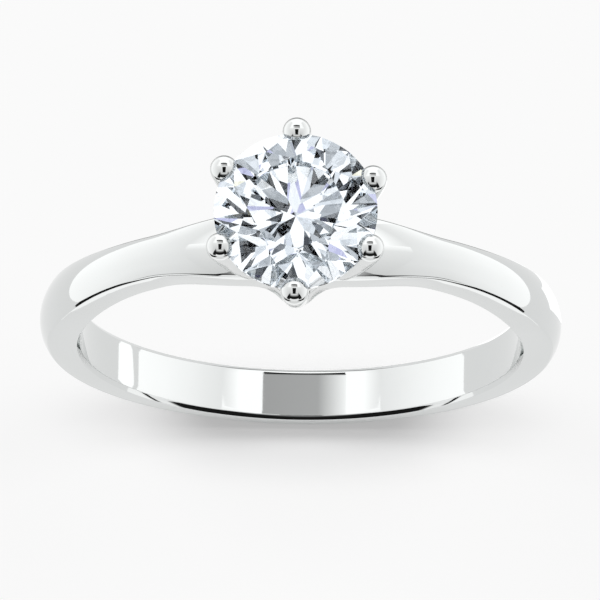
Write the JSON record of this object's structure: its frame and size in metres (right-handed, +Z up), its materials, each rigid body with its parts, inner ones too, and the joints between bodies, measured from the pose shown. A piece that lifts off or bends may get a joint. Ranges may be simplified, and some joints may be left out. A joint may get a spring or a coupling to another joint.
{
  "type": "engagement ring",
  "caption": "Solitaire ring: a domed, tapered band closed by a bridge under a claw-set round brilliant, with open gallery rails beneath the stone.",
  "frame": {"origin": "under the middle of the base of the band, where the upright ring touches the ground", "axes": "+Z up from the base of the band to the stone, +Y along the finger, +X to the right when looking along +Y"},
  "size_m": [0.0204, 0.0076, 0.0246],
  "materials": {
    "white_gold": "polished, rhodium plated",
    "diamond": "faceted and polished, colourless"
  },
  "bodies": {
    "root": {"shank": "white_gold", "right_shoulder": "white_gold", "left_shoulder": "white_gold", "bridge": "white_gold", "lower_gallery_rail": "white_gold", "upper_gallery_rail": "white_gold", "claw_right_back": "white_gold", "claw_back": "white_gold", "claw_left_back": "white_gold", "claw_left_front": "white_gold", "claw_front": "white_gold", "claw_right_front": "white_gold", "diamond": "diamond"}
  },
  "joints": []
}
